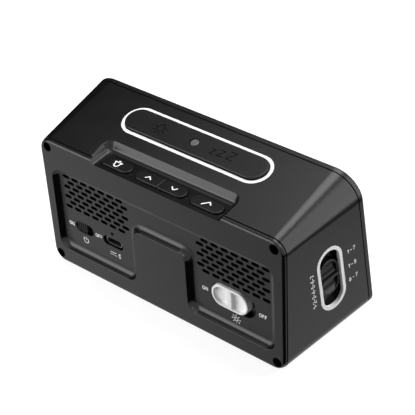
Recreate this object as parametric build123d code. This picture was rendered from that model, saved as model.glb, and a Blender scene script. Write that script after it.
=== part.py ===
from build123d import *
import math
import os

os.makedirs("parts", exist_ok=True)

# Digital alarm clock in a tapered case, in mm and degrees.
# x runs across, the display looks to -y, z is up. The origin is on the table, in the middle.

# Case
front_width = 140.0
front_height = 67.4
base_depth = 49.1
rear_height = 62.0
rear_lean = 6.8
front_lean = 1.65
side_flare = 7.07
rear_corner = 6.0
front_top_corner = 11.7
front_bottom_corner = 6.0
wall = 2.2

# Front ring
bezel_depth = 2.4
groove_width = 0.5
groove_depth = 0.8
bezel_edge = 0.8
bezel_lip = 3.0
bezel_lip_wall = 1.6
bezel_frame = 3.0
ledge_width = 3.5
ledge_depth = 2.0
lens_thickness = 1.8
lens_sink = 0.2
bezel_post = 5.0
bezel_post_side = 7.1
bezel_post_low = 16.0
bezel_post_drop = 7.0

# Fits
seat_gap = 0.15
slide_gap = 0.3
part_gap = 0.3

# Rear cover
cover_plate = 1.4
shadow_gap = 0.4
shadow_depth = 0.7
cover_inset = 0.2
cover_edge = 1.3
cover_lip = 3.0
cover_lip_wall = 1.4
panel_side = 4.8
panel_bottom = 8.0
panel_drop = 13.5
panel_depth = 2.6
panel_corner = 5.0
panel_draft = 30.0
panel_wall = 1.8
panel_edge = 0.3
panel_foot = 3.2
block_half = 14.2
block_corner = 4.0
block_top = 35.1

# Grilles
slot_length = 3.9
slot_height = 1.6
slot_pitch = 5.1
row_pitch = 2.47
slots_in_row = 7
slot_rows = 7
grille_side = 5.6
grille_drop = 4.0

# Case screws
case_screw_side = 4.0
case_screw_drop = 3.9
case_screw_rise = 3.95
case_screw_hole = 4.4
case_screw_sink = 8.0
case_screw_floor = 1.6
case_screw_shank = 2.6
case_screw_length = 10.0
case_screw_head = 4.0
case_screw_head_height = 1.6
case_boss = 7.0
case_post = 6.0
case_post_length = 12.0
post_web = 2.0
post_web_reach = 9.0

# Small screws
small_shank = 1.8
small_length = 5.0
small_head = 3.4
small_head_height = 1.2
small_boss = 4.4
thread_gap = 0.05

# Circuit boards
board = 1.2

# Key step and keys
step_drop = 2.26
step_half = 33.8
step_front = 16.2
step_corner = 2.4
step_slope = 28.0
step_fillet = 2.2
step_edge = 0.3
step_wall = 1.8
key_y = 10.3
key_width = 5.6
key_length = 15.6
key_pitch = 23.7
pair_length = 26.0
key_proud = 0.9
key_gap = 0.25
key_edge = 0.3
key_flange = 0.8
key_flange_thickness = 0.8
key_travel = 0.5
key_stem = 0.9
key_stem_width = 3.0
key_board_length = 80.0
key_board_width = 7.6
key_board_back = 6.8
key_post_x = 35.8

# Push switches under the keys and the bar
push_body = 4.5
push_height = 2.0
push_button = 2.4
push_button_height = 0.5

# Snooze bar, on the sloping top
bar_shift = 0.57
ring_straight = 60.7
ring_outer = 15.3
ring_band = 1.4
ring_depth = 1.3
ring_proud = 0.1
bar_gap = 0.35
bar_proud = 1.3
bar_edge = 0.5
bar_flange = 1.0
bar_flange_thickness = 1.0
bar_travel = 0.8
bar_stem = 1.4
bar_stem_width = 4.0
bar_stem_x = 22.0
window_width = 4.2
snooze_board_length = 94.0
snooze_board_width = 9.0
snooze_post_x = 43.0

# Day selector, on the side
selector_up = 29.85
selector_front = 22.1
selector_straight = 17.3
selector_outer = 13.7
selector_band = 1.5
selector_depth = 3.2
selector_floor = 1.5
selector_knob_length = 17.0
selector_knob_width = 9.7
selector_knob_top = 0.9
selector_ridge = 1.3
selector_ridge_top = 0.25
selector_travel = 4.0
selector_post_y = 18.0
selector_board_width = 12.0

# Light slider, in the sunk panel
light_x = 36.9
light_up = 21.9
light_length = 22.4
light_width = 11.0
light_depth = 2.5
light_floor = 1.5
light_knob_length = 18.6
light_knob_width = 10.2
light_knob_proud = 1.0
light_rim = 0.9
light_ridge = 1.8
light_dish = 1.5
light_dish_radius = 9.0
light_travel = 3.2
light_post_x = 16.4
light_board_width = 12.0

# Power slider, in the sunk panel
power_x = 45.6
power_up = 21.2
power_length = 10.6
power_width = 5.2
power_depth = 2.0
power_floor = 1.5
power_knob_length = 6.4
power_knob_width = 4.5
power_knob_sink = 0.2
power_rib = 0.5
power_rib_pitch = 1.2
power_travel = 3.0

# Slide switches
stem_width = 2.4
stem_reach = 3.4
switch_depth = 4.0
switch_length = 12.0
switch_width = 5.0
switch_slot_depth = 2.6

# Inlet and its board
inlet_x = 28.9
inlet_up = 21.0
inlet_length = 11.5
inlet_width = 4.4
socket_width = 8.94
socket_height = 3.26
socket_depth = 7.3
socket_wall = 0.3
socket_sink = 0.8
tongue_width = 6.7
tongue_thickness = 0.7
tongue_length = 4.6
light_pipe = 1.6
light_pipe_up = 25.6
light_pipe_length = 4.6
light_pipe_head = 3.0
led_length = 4.0
io_board_near = 20.0
io_board_far = 56.0
io_board_reach = 20.0
io_board_front = 2.2
io_rib_width = 4.4
io_rib_height = 7.0

# Display stack
display_side = 12.0
display_bottom = 9.0
display_drop = 12.35
glass_thickness = 2.2
glass_inset = 2.2
backlight_thickness = 3.0
backlight_space = 2.6
frame_wall = 1.8
strip_thickness = 2.0
display_front = 0.6
main_board = 1.6
main_board_bottom = 8.0
main_board_drop = 2.0
main_board_side = 5.0
chip_size = 10.0
chip_thickness = 1.6

# Battery
battery_length = 54.0
battery_width = 22.0
battery_height = 8.0
battery_back = 9.0
battery_x = 22.0
pad_thickness = 1.0
cradle_height = 4.0
cradle_wall = 1.6
battery_edge = 2.0

# Speaker
speaker_length = 31.0
speaker_width = 15.6
speaker_rim = 1.2
speaker_frame_depth = 3.6
speaker_cone_depth = 1.2
magnet_width = 12.0
magnet_depth = 3.5

# Feet
foot_width = 9.0
foot_thickness = 1.7
foot_proud = 0.6
foot_side = 20.0
foot_back = 9.0
foot_front = 9.1


def sine(angle):
    return math.sin(math.radians(angle))


def cosine(angle):
    return math.cos(math.radians(angle))


# The rear rim is placed so that the deepest edges lie evenly about y = 0
edge_back = cover_plate + shadow_gap - cover_edge
rear_reach = edge_back * cosine(rear_lean) + cover_edge - (cover_inset + cover_edge) * sine(rear_lean)
rim_y = (base_depth - rear_reach) / 2
front_y = rim_y - base_depth
body_z = foot_proud
rear_top_y = rim_y - rear_height * sine(rear_lean)
rear_top_z = body_z + rear_height * cosine(rear_lean)
front_top_y = front_y + front_height * sine(front_lean)
front_top_z = body_z + front_height * cosine(front_lean)
top_slope = math.degrees(math.atan2(front_top_z - rear_top_z, rear_top_y - front_top_y))

# Faces of the case, each with z pointing out of it
RIM = Plane((0, rim_y, body_z), x_dir=(-1, 0, 0), z_dir=(0, cosine(rear_lean), sine(rear_lean)))
FRONT = Plane((0, front_y, body_z), x_dir=(1, 0, 0), z_dir=(0, -cosine(front_lean), sine(front_lean)))
TOP = Plane((0, rear_top_y, rear_top_z), x_dir=(1, 0, 0), z_dir=(0, sine(top_slope), cosine(top_slope)))
cover_face = cover_plate + shadow_gap
panel_level = cover_face - panel_depth
panel_back = panel_level - panel_wall
housing_front = -(bezel_depth + groove_width)


def half_width(y):
    """Half the width of the case at the depth y."""
    return front_width / 2 - (y - front_y) * math.tan(math.radians(side_flare))


def top_height(y):
    """Height of the sloping top at the depth y."""
    return rear_top_z + (rear_top_y - y) * math.tan(math.radians(top_slope))


def crossing(plane, gap):
    """Where the line up the middle of a plane meets a face, given the gap to that face."""
    start = gap(plane.from_local_coords((0, 0, 0)))
    end = gap(plane.from_local_coords((0, 1, 0)))
    return start / (start - end)


def corner_radius(y, front_radius, inset):
    """Radius of a long corner at the depth y, less an inset."""
    share = (rear_top_y - y) / (rear_top_y - front_top_y)
    return max(rear_corner + (front_radius - rear_corner) * share - inset, 0.6)


def outline(plane, inset=0.0):
    """Rounded outline of the case on a plane across it, moved inwards by an inset."""
    low = crossing(plane, lambda p: p.Z - body_z - inset)
    high = crossing(plane, lambda p: p.Z - top_height(p.Y) + inset / cosine(top_slope))
    low_y = plane.from_local_coords((0, low, 0)).Y
    high_y = plane.from_local_coords((0, high, 0)).Y
    low_half = half_width(low_y) - inset / cosine(side_flare)
    high_half = half_width(high_y) - inset / cosine(side_flare)
    corners = [(-low_half, low), (low_half, low), (high_half, high), (-high_half, high)]
    shape = make_face(Polyline(*corners, close=True))
    low_radius = corner_radius(high_y, front_bottom_corner, inset)
    high_radius = corner_radius(high_y, front_top_corner, inset)
    shape = fillet(shape.vertices().sort_by(Axis.Y)[:2], low_radius)
    return fillet(shape.vertices().sort_by(Axis.Y)[-2:], high_radius)


def case_slab(back, front, inset=0.0):
    """Solid stretch of the case between two planes across it."""
    return loft([back * outline(back, inset), front * outline(front, inset)], ruled=True)


def slab(sketch, low, high):
    """A sketch raised from one height to another."""
    return Pos(0, 0, low) * extrude(sketch, high - low)


def stadium(length, width):
    return SlotOverall(length, width)


def post(diameter, low, high):
    return slab(Circle(diameter / 2), low, high)


def block(length, width, low, high):
    return slab(Rectangle(length, width), low, high)


def screw(shank, length, head, head_height):
    """Pan head screw with a cross recess, its head seated on z = 0."""
    body = post(head, 0, head_height)
    body = fillet(body.edges().group_by(Axis.Z)[-1], head_height * 0.4)
    body += post(shank, -length, 0)
    arm = head * 0.55
    cross = block(arm, head * 0.14, head_height * 0.4, head_height)
    cross += block(head * 0.14, arm, head_height * 0.4, head_height)
    return body - cross


def small_screw():
    return screw(small_shank, small_length, small_head, small_head_height)


def pilot():
    """Hole for a small screw, down from z = 0, under its board."""
    return post(small_shank + 2 * thread_gap, -(small_length - board) - 0.5, 0.01)


def push_switch():
    """Push switch with its foot on z = 0."""
    button_top = push_height + push_button_height
    return block(push_body, push_body, 0, push_height) + post(push_button, push_height, button_top)


def slide_switch(travel):
    """Slide switch that lies behind z = 0, with the slot that its stem runs in."""
    body = block(switch_length, switch_width, -switch_depth, 0)
    slot = block(travel + stem_width + 2 * slide_gap, stem_width + 2 * slide_gap, -switch_slot_depth, 0)
    return body - slot


def on_rim(x, up, depth=0.0):
    """Place on the rear rim's plane, x as on the table."""
    return RIM * Pos(-x, up, depth)


# Sizes that follow the outline of the case
panel_half = half_width(rim_y) - panel_side
panel_top = rear_height - panel_drop
grille_outer = panel_half - grille_side
grille_top = panel_top - grille_drop
case_screw_x = half_width(rim_y) - case_screw_side
case_screw_top = rear_height - case_screw_drop
bezel_post_x = front_width / 2 - bezel_post_side
glass_front = -(bezel_depth + groove_width) - display_front
main_board_front = glass_front - glass_thickness - backlight_thickness - backlight_space
display_high = front_height - display_drop + main_board_front * math.tan(math.radians(top_slope))
display_width = front_width - 2 * display_side
display_height = display_high - display_bottom
display_middle = display_bottom + display_height / 2
bezel_post_high = display_high - bezel_post_drop
main_board_height = display_high - main_board_drop - main_board_bottom
main_board_width = front_width - 2 * main_board_side
speaker_x = grille_outer - (slots_in_row - 0.5) * slot_pitch / 2
speaker_up = grille_top - (slot_rows - 1) * row_pitch / 2
foot_x = front_width / 2 - foot_side

# Key step, measured from the rear rim and the top
floor_z = rear_top_z - step_drop
floor_under = floor_z - step_wall
step_front_y = rim_y - step_front
step_rise = top_height(step_front_y) - floor_z
step_top_y = step_front_y - step_rise * math.tan(math.radians(step_slope))
key_line = rim_y - key_y
flange_top = floor_under - 0.2
flange_under = flange_top - key_flange_thickness
stem_under = flange_under - key_stem
key_board_top = stem_under - key_travel - part_gap - push_height - push_button_height

# Places of the controls
LIGHT = on_rim(-light_x, light_up)
POWER = on_rim(power_x, power_up)
INLET = on_rim(inlet_x, inlet_up)
groove = FRONT.offset(housing_front)
groove_y = groove.from_local_coords((0, crossing(groove, lambda p: p.Z - top_height(p.Y)), 0)).Y
bar_y = (step_top_y + groove_y) / 2 - bar_shift
BAR = TOP * Pos(0, (bar_y - rear_top_y) / cosine(top_slope), 0)

selector_y = front_y + selector_front * cosine(side_flare)
SELECTOR = Plane(
    (-half_width(selector_y), selector_y, body_z + selector_up),
    x_dir=(-sine(side_flare), -cosine(side_flare), 0),
    z_dir=(-cosine(side_flare), sine(side_flare), 0),
) * Rot(0, 0, front_lean)

# Depths of the sliders, below the face that they slide in
light_pocket = panel_level - light_depth
power_pocket = panel_level - power_depth
ring_inner = ring_outer - 2 * ring_band
selector_inner = selector_outer - 2 * selector_band
bar_width = ring_inner - 2 * bar_gap
bar_length = ring_straight + bar_width


def step_cut():
    """The step in the rear top edge: a flat floor with sloping walls."""
    length = step_front + 10
    shape = Rectangle(2 * step_half, length)
    shape = fillet(shape.vertices().sort_by(Axis.Y)[:2], step_corner)
    cut = extrude(shape, 9, taper=-step_slope)
    front_edges = cut.edges().group_by(Axis.Z)[0].sort_by(Axis.Y)[:-1]
    cut = fillet(front_edges, step_fillet)
    return Pos(0, step_front_y + length / 2, floor_z) * cut


def on_step_edge(edge):
    """Whether an edge lies on the sloping top, round the front and the sides of the step."""
    middle = edge.center()
    near = abs(middle.X) < step_half + 2 * step_drop and middle.Y > step_top_y - 1
    return near and abs(TOP.to_local_coords(middle).Z) < 0.01 and middle.Y < rear_top_y - 0.1


def step_block():
    """Solid stock around the step, before it is cut."""
    grow = step_front_y - step_top_y + step_wall
    half = step_half + grow
    length = step_front + grow + 10
    return Pos(0, step_front_y - grow + length / 2, 0) * block(2 * half, length, floor_under, front_top_z)


def case_screw_places():
    return [
        (side * case_screw_x, height)
        for side in (-1, 1)
        for height in (case_screw_rise, case_screw_top)
    ]


def corner_post(x, up):
    """Section of a corner post with two webs out to the walls of the case."""
    side = -math.copysign(post_web_reach / 2, x)
    rise = math.copysign(post_web_reach / 2, up - rear_height / 2)
    webs = Pos(side, 0) * Rectangle(post_web_reach, post_web)
    webs += Pos(0, rise) * Rectangle(post_web, post_web_reach)
    return Circle(case_post / 2) + webs


def key_places():
    """Name, middle, length and which ends are round, from the -x end."""
    half = pair_length / 2
    return {
        "set_key": (-key_pitch, key_length),
        "up_key": (-half / 2, half),
        "down_key": (half / 2, half),
        "alarm_key": (key_pitch, key_length),
    }


def housing_shell():
    """Tapered case, open at both ends, with the seats of everything that it carries."""
    front = FRONT.offset(housing_front)
    outer = case_slab(RIM, front)
    shell = outer - case_slab(RIM.offset(1), FRONT.offset(housing_front + 1), wall)
    shell += step_block() & outer
    shell -= step_cut()
    shell = fillet([edge for edge in shell.edges() if on_step_edge(edge)], step_edge)

    # Corner posts for the case screws
    post_high = -(case_screw_sink - cover_face) - case_screw_floor - 0.2
    posts = [on_rim(x, up) * slab(corner_post(x, up), post_high - case_post_length, post_high)
             for x, up in case_screw_places()]
    pilot_width = case_screw_shank + 2 * thread_gap
    pilots = [on_rim(x, up) * post(pilot_width, post_high - case_screw_length, post_high)
              for x, up in case_screw_places()]
    shell += (Part() + posts) & case_slab(RIM, front, 0.5)
    shell -= pilots
    shell -= [on_rim(x, up) * post(case_screw_hole + 2 * seat_gap, post_high, 1)
              for x, up in case_screw_places()]

    # Key holes and the bosses that hold the key board
    holes = [Pos(x, key_line, 0) * slab(stadium(key_length + 2 * key_gap, key_width + 2 * key_gap),
                                        floor_under - 1, floor_z + 1)
             for x in (-key_pitch, key_pitch)]
    holes.append(Pos(0, key_line, 0) * slab(stadium(pair_length + 2 * key_gap, key_width + 2 * key_gap),
                                            floor_under - 1, floor_z + 1))
    shell -= holes
    for x in (-key_post_x, key_post_x):
        shell += Pos(x, key_line, 0) * post(small_boss, key_board_top, floor_under + 0.5)
        shell -= Pos(x, key_line, key_board_top) * Rot(180, 0, 0) * pilot()

    # Opening, rebate and board bosses of the snooze bar
    shell -= BAR * slab(stadium(ring_straight + ring_inner, ring_inner), -wall - 3, 3)
    shell -= BAR * slab(stadium(ring_straight + ring_outer, ring_outer), -ring_depth, 3)
    for x in (-snooze_post_x, snooze_post_x):
        shell += BAR * Pos(x, 0, 0) * post(small_boss, snooze_board_top, -wall + 0.5)
        shell -= BAR * Pos(x, 0, snooze_board_top) * Rot(180, 0, 0) * pilot()

    # Pocket of the day selector
    pocket_length = selector_straight + selector_inner
    shell += SELECTOR * Rot(0, 0, 90) * slab(
        stadium(pocket_length + 2 * selector_floor, selector_inner + 2 * selector_floor),
        -selector_depth - selector_floor, -wall + 0.5)
    shell -= SELECTOR * Rot(0, 0, 90) * slab(stadium(pocket_length, selector_inner), -selector_depth, 3)
    shell -= SELECTOR * Rot(0, 0, 90) * slab(
        stadium(selector_straight + selector_outer, selector_outer), -ring_depth, 3)
    shell -= SELECTOR * Rot(0, 0, 90) * block(
        2 * selector_travel + stem_width + 2 * slide_gap, stem_width + 2 * slide_gap,
        -selector_depth - selector_floor - 1, 0)
    for y in (-selector_post_y, selector_post_y):
        shell += SELECTOR * Pos(0, y, 0) * post(small_boss, selector_board_top, -wall + 0.5)
        shell -= SELECTOR * Pos(0, y, selector_board_top) * Rot(180, 0, 0) * pilot()

    # Battery cradle on the floor, and the sockets of the feet
    cradle = Rectangle(battery_length + 2 * part_gap + 2 * cradle_wall,
                       battery_width + 2 * part_gap + 2 * cradle_wall)
    cradle -= Rectangle(battery_length + 2 * part_gap, battery_width + 2 * part_gap)
    shell += Pos(-battery_x, battery_y, floor_top) * slab(cradle, -0.2, cradle_height)
    for x, y in foot_places():
        shell -= Pos(x, y, 0) * post(foot_width + 2 * seat_gap, 0, foot_thickness)
    return shell


# Stacks under the top, behind the side and on the floor
bar_flange_top = -wall - 0.2
bar_stem_under = bar_flange_top - bar_flange_thickness - bar_stem
snooze_board_top = bar_stem_under - bar_travel - part_gap - push_height - push_button_height
selector_switch_top = -selector_depth - selector_floor - 0.2
selector_board_top = selector_switch_top - switch_depth
light_switch_top = light_pocket - light_floor - 0.2
light_board_top = light_switch_top - switch_depth
power_switch_top = power_pocket - power_floor - 0.2
floor_top = body_z + wall
battery_y = rim_y - battery_back - battery_width / 2
io_board_level = inlet_up - socket_height / 2 - 1.0


def foot_places():
    return [(side * foot_x, y) for side in (-1, 1) for y in (rim_y - foot_back, front_y + foot_front)]


def front_bezel():
    """Ring that closes the front, with the ledge for the lens and four posts for the board."""
    face = case_slab(FRONT.offset(-bezel_depth), FRONT)
    face = fillet(face.faces().sort_by(Axis.Y)[0].edges(), bezel_edge)
    neck = case_slab(FRONT.offset(housing_front), FRONT.offset(-bezel_depth), groove_depth)
    lip_inset = wall + seat_gap
    lip = case_slab(FRONT.offset(housing_front - bezel_lip), FRONT.offset(housing_front), lip_inset)
    lip -= case_slab(FRONT.offset(housing_front - bezel_lip - 1), FRONT.offset(-ledge_depth),
                     lip_inset + bezel_lip_wall)
    ring = face + neck + lip
    lens_seat = case_slab(FRONT.offset(-ledge_depth), FRONT.offset(1), bezel_frame)
    opening = case_slab(FRONT.offset(-10), FRONT.offset(1), bezel_frame + ledge_width)
    ring = ring - lens_seat - opening
    for x, up in bezel_post_places():
        ring += FRONT * Pos(x, up, 0) * post(bezel_post, main_board_front, -ledge_depth - 0.5)
        ring -= FRONT * Pos(x, up, main_board_front) * Rot(180, 0, 0) * pilot()
    return ring


def bezel_post_places():
    return [(side * bezel_post_x, up) for side in (-1, 1) for up in (bezel_post_low, bezel_post_high)]


def display_lens():
    """Smoked window that fills the ring."""
    return case_slab(FRONT.offset(-lens_sink - lens_thickness), FRONT.offset(-lens_sink),
                     bezel_frame + seat_gap)


def in_display(depth=0.0):
    return FRONT * Pos(0, display_middle, depth)


def lcd_panel():
    glass_width = display_width - 2 * glass_inset
    glass_height = display_height - 2 * glass_inset
    return in_display() * block(glass_width, glass_height, glass_front - glass_thickness, glass_front)


def backlight_panel():
    """Light guide behind the glass, with the row of lamps on its end as a step."""
    back = glass_front - glass_thickness - backlight_thickness
    guide_width = display_width - 2 * glass_inset
    guide = in_display() * block(guide_width, display_height - 2 * glass_inset - 6, back,
                                 glass_front - glass_thickness)
    lamps = in_display() * Pos(0, 0, 0) * block(guide_width, 8, back - 1.2, back)
    return guide + lamps


def lcd_frame():
    """Moulded frame around the glass, with a bead in front of it."""
    outer = Rectangle(display_width + 2 * frame_wall, display_height + 2 * frame_wall)
    inner = Rectangle(display_width - 2 * glass_inset + 2 * seat_gap,
                      display_height - 2 * glass_inset + 2 * seat_gap)
    bead = Rectangle(display_width - 2 * glass_inset - 4, display_height - 2 * glass_inset - 4)
    frame = slab(outer - inner, main_board_front, glass_front)
    return in_display() * (frame + slab(outer - bead, glass_front, glass_front + 0.5))


def contact_strips():
    """Two elastomer strips between the glass and the board."""
    reach = (display_height - 2 * glass_inset) / 2 - strip_thickness / 2
    length = display_width - 2 * glass_inset - 20
    strip = block(length, strip_thickness, main_board_front, glass_front - glass_thickness)
    return in_display() * (Part() + [Pos(0, side * reach, 0) * strip for side in (-1, 1)])


def main_pcb():
    middle = main_board_bottom + main_board_height / 2
    panel = FRONT * Pos(0, middle, 0) * block(
        main_board_width, main_board_height, main_board_front - main_board, main_board_front)
    for x, up in bezel_post_places():
        panel -= FRONT * Pos(x, up, 0) * post(small_shank + 0.4, main_board_front - 3, main_board_front)
    return panel


def main_pcb_screws():
    return Part() + [
        FRONT * Pos(x, up, main_board_front - main_board) * Rot(180, 0, 0) * small_screw()
        for x, up in bezel_post_places()]


def main_chip():
    back = main_board_front - main_board
    return FRONT * Pos(0, display_middle, 0) * block(chip_size, chip_size, back - chip_thickness, back)


def main_pcb_parts():
    """Crystal can, capacitor and the plugs' headers on the board."""
    back = main_board_front - main_board
    crystal = FRONT * Pos(16, display_middle, 0) * slab(stadium(10, 3.8), back - 3.5, back)
    capacitor = FRONT * Pos(-24, display_middle + 8, 0) * post(6.3, back - 6.5, back)
    headers = [FRONT * Pos(x, main_board_bottom + 8, 0) * block(8, 5, back - 5, back)
               for x in (-36, -12, 12, 36)]
    return Part() + ([crystal, capacitor] + headers)


def panel_outline(grow=0.0):
    """Outline of the sunk panel on the rear, moved outwards by grow."""
    width = 2 * (panel_half + grow)
    height = panel_top - panel_bottom + 2 * grow
    shape = RectangleRounded(width, height, panel_corner + grow)
    return Pos(0, (panel_top + panel_bottom) / 2) * shape


def plain_block(grow=0.0):
    """Outline of the plain raised block, which joins the margin below it."""
    height = block_top - panel_bottom + grow + 2 * panel_corner
    shape = RectangleRounded(2 * (block_half + grow), height, block_corner + grow)
    return Pos(0, block_top + grow - height / 2) * shape


def sunk_panel():
    """The hollow of the sunk panel around the plain block: sloping walls that run out in a wide fillet."""
    draft = panel_depth * math.tan(math.radians(panel_draft))
    shape = panel_outline(-draft) - plain_block(draft)
    feet = [corner for corner in shape.vertices()
            if abs(corner.Y - panel_bottom - draft) < 0.01 and abs(corner.X) < block_half + draft + 0.01]
    shape = fillet(feet, panel_corner - draft)
    hollow = extrude(shape, panel_depth + 1, taper=-panel_draft)
    hollow = fillet(hollow.faces().sort_by(Axis.Z)[0].edges(), panel_foot)
    return Pos(0, 0, panel_level) * hollow


def on_panel_rim(edge):
    """Whether an edge lies on the cover's face, round the sunk panel."""
    middle = RIM.to_local_coords(edge.center())
    low = panel_bottom - panel_edge < middle.Y < panel_top + panel_edge
    return abs(middle.Z - cover_face) < 0.01 and abs(middle.X) < panel_half + panel_edge and low


def rear_cover():
    """Plate with a rounded rim, a sunk panel, grilles and the seats of three controls."""
    plate = case_slab(RIM.offset(shadow_gap), RIM.offset(cover_face), cover_inset)
    plate = fillet(plate.faces().sort_by(Axis(RIM.origin, RIM.z_dir))[-1].edges(), cover_edge)
    neck = case_slab(RIM, RIM.offset(shadow_gap), cover_inset + shadow_depth)
    inside = wall + 2 * seat_gap
    lip = case_slab(RIM.offset(-cover_lip), RIM, inside)
    lip -= case_slab(RIM.offset(-cover_lip - 1), RIM.offset(1), inside + cover_lip_wall)
    cavity = case_slab(RIM.offset(-base_depth / 2), RIM.offset(cover_face), inside)
    bosses = [on_rim(x, up) * post(case_boss, -(case_screw_sink - cover_face) - case_screw_floor, 0)
              for x, up in case_screw_places()]
    bosses = (Part() + bosses) & cavity
    tray = RIM * slab(panel_outline(panel_wall), panel_back, 0)
    key_board_low = key_board_top - board - part_gap
    lip -= Pos(0, rim_y, 0) * block(key_board_length + 2 * part_gap, base_depth, key_board_low, front_top_z)
    cover = plate + neck + lip + bosses + tray

    # Sunk panel around the plain block
    cover -= RIM * sunk_panel()
    rim_edges = [edge for edge in cover.edges() if on_panel_rim(edge)]
    cover = fillet(rim_edges, panel_edge)
    cover -= RIM * slab(plain_block(-panel_wall), panel_back - 1, 0)
    cover -= step_cut()

    # Grilles: rows of slots, each second row set in by half a pitch
    slots = []
    for side in (-1, 1):
        for row in range(slot_rows):
            for column in range(slots_in_row):
                x = grille_outer - (column + row % 2 / 2) * slot_pitch
                up = grille_top - row * row_pitch
                slots.append(on_rim(side * x, up) * slab(
                    stadium(slot_length, slot_height), panel_back - 1, panel_level + 1))
    cover -= slots

    # Holes for the case screws
    for x, up in case_screw_places():
        seat = cover_face - case_screw_sink
        cover -= on_rim(x, up) * post(case_screw_hole, seat, cover_face + 1)
        cover -= on_rim(x, up) * post(case_screw_shank + 0.4, seat - case_screw_floor - 1, seat)

    # Pockets of the light slider and the power slider
    cover += LIGHT * slab(stadium(light_length + 2 * light_floor, light_width + 2 * light_floor),
                          light_pocket - light_floor, panel_back + 0.5)
    cover -= LIGHT * slab(stadium(light_length, light_width), light_pocket, panel_level + 1)
    cover -= LIGHT * block(light_travel + stem_width + 2 * slide_gap, stem_width + 2 * slide_gap,
                           light_pocket - light_floor - 1, 0)
    cover += POWER * slab(stadium(power_length + 2 * power_floor, power_width + 2 * power_floor),
                          power_pocket - power_floor, panel_back + 0.5)
    cover -= POWER * slab(stadium(power_length, power_width), power_pocket, panel_level + 1)
    cover -= POWER * block(power_travel + stem_width + 2 * slide_gap, stem_width + 2 * slide_gap,
                           power_pocket - power_floor - 1, 0)
    for x in (-light_post_x, light_post_x):
        cover += LIGHT * Pos(x, 0, 0) * post(small_boss, light_board_top, panel_back + 0.5)
        cover -= LIGHT * Pos(x, 0, light_board_top) * Rot(180, 0, 0) * pilot()

    # Inlet, light pipe and the two ribs under the inlet's board
    cover -= INLET * slab(stadium(inlet_length, inlet_width), panel_back - 1, panel_level + 1)
    cover -= on_rim(inlet_x, light_pipe_up) * post(light_pipe + 0.1, panel_back - 1, panel_level + 1)
    for x in io_rib_places():
        rib = Box(io_rib_width, io_rib_height, io_board_reach - 1.5,
                  align=(Align.CENTER, Align.MAX, Align.MAX))
        cover += on_rim(x, io_board_level - board, panel_back + 0.5) * rib
        cover -= io_screw_place(x) * pilot()
    return cover


def io_rib_places():
    return (io_board_near + io_rib_width / 2, io_board_far - io_rib_width / 2)


def io_screw_place(x):
    """Seat of a screw on top of the inlet's board, pointing down into its rib."""
    return on_rim(x, io_board_level - board, panel_back - io_board_reach + 5) * Rot(-90, 0, 0)


def rear_screws():
    return Part() + [
        on_rim(x, up, cover_face - case_screw_sink)
        * screw(case_screw_shank, case_screw_length, case_screw_head, case_screw_head_height)
        for x, up in case_screw_places()]


def snooze_ring():
    band = stadium(ring_straight + ring_outer, ring_outer) - stadium(ring_straight + ring_inner, ring_inner)
    return BAR * slab(band, -ring_depth, ring_proud)


def snooze_bar():
    """Long raised bar with a flange under the top and two stems."""
    bar = slab(stadium(bar_length, bar_width), bar_flange_top, bar_proud)
    bar = fillet(bar.faces().sort_by(Axis.Z)[-1].edges(), bar_edge)
    bar += slab(stadium(bar_length + 2 * (bar_flange + bar_gap), bar_width + 2 * (bar_flange + bar_gap)),
                bar_flange_top - bar_flange_thickness, bar_flange_top)
    for x in (-bar_stem_x, bar_stem_x):
        bar += Pos(x, 0, 0) * post(bar_stem_width, bar_stem_under, bar_flange_top)
    bar -= post(window_width, bar_flange_top - bar_flange_thickness - 1, bar_proud + 1)
    return BAR * bar


def light_sensor_window():
    lens = post(window_width - 0.1, bar_flange_top - bar_flange_thickness, bar_proud - 0.2)
    return BAR * fillet(lens.faces().sort_by(Axis.Z)[-1].edges(), bar_edge)


def snooze_pcb():
    panel = block(snooze_board_length, snooze_board_width, snooze_board_top - board, snooze_board_top)
    for x in (-snooze_post_x, snooze_post_x):
        panel -= Pos(x, 0, 0) * post(small_shank + 0.4, snooze_board_top - 3, snooze_board_top + 1)
    return BAR * panel


def snooze_pcb_screws():
    return Part() + [BAR * Pos(x, 0, snooze_board_top - board) * Rot(180, 0, 0) * small_screw()
                     for x in (-snooze_post_x, snooze_post_x)]


def snooze_switches():
    return Part() + [BAR * Pos(x, 0, snooze_board_top) * push_switch() for x in (-bar_stem_x, bar_stem_x)]


def light_sensor():
    sensor = block(3.2, 3.2, snooze_board_top, snooze_board_top + 1.4)
    dome = BAR * Pos(0, 0, snooze_board_top + 1.4) * Sphere(1.1)
    return BAR * sensor + (dome & (BAR * block(6, 6, snooze_board_top, 0)))


def key(name):
    """A key cap with the flange that holds it in and the stem that works its switch."""
    x, length = key_places()[name]
    paired = name in ("up_key", "down_key")
    full = pair_length if paired else key_length
    cap = slab(stadium(full, key_width), flange_top, floor_z + key_proud)
    wide = slab(stadium(full + 2 * (key_flange + key_gap), key_width + 2 * (key_flange + key_gap)),
                flange_under, flange_top)
    wide -= Pos(0, key_width / 2 + key_gap + 5, 0) * block(2 * full, 10, 0, floor_z)
    if paired:
        side = math.copysign(1, x)
        half = Pos(side * (full / 2 + key_gap / 2), 0, 0) * block(full, 20, 0, 90)
        cap = cap & half
        wide = wide & half
        middle = 0
    else:
        middle = x
    cap = fillet(cap.faces().sort_by(Axis.Z)[-1].edges(), key_edge)
    whole = Pos(middle, key_line, 0) * (cap + wide)
    return whole + Pos(x, key_line, 0) * post(key_stem_width, stem_under, flange_under)


def key_board_middle():
    return rim_y - key_board_back - key_board_width / 2


def key_pcb():
    panel = Pos(0, key_board_middle(), 0) * block(
        key_board_length, key_board_width, key_board_top - board, key_board_top)
    for x in (-key_post_x, key_post_x):
        panel -= Pos(x, key_line, 0) * post(small_shank + 0.4, key_board_top - 3, key_board_top + 1)
    return panel


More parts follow.
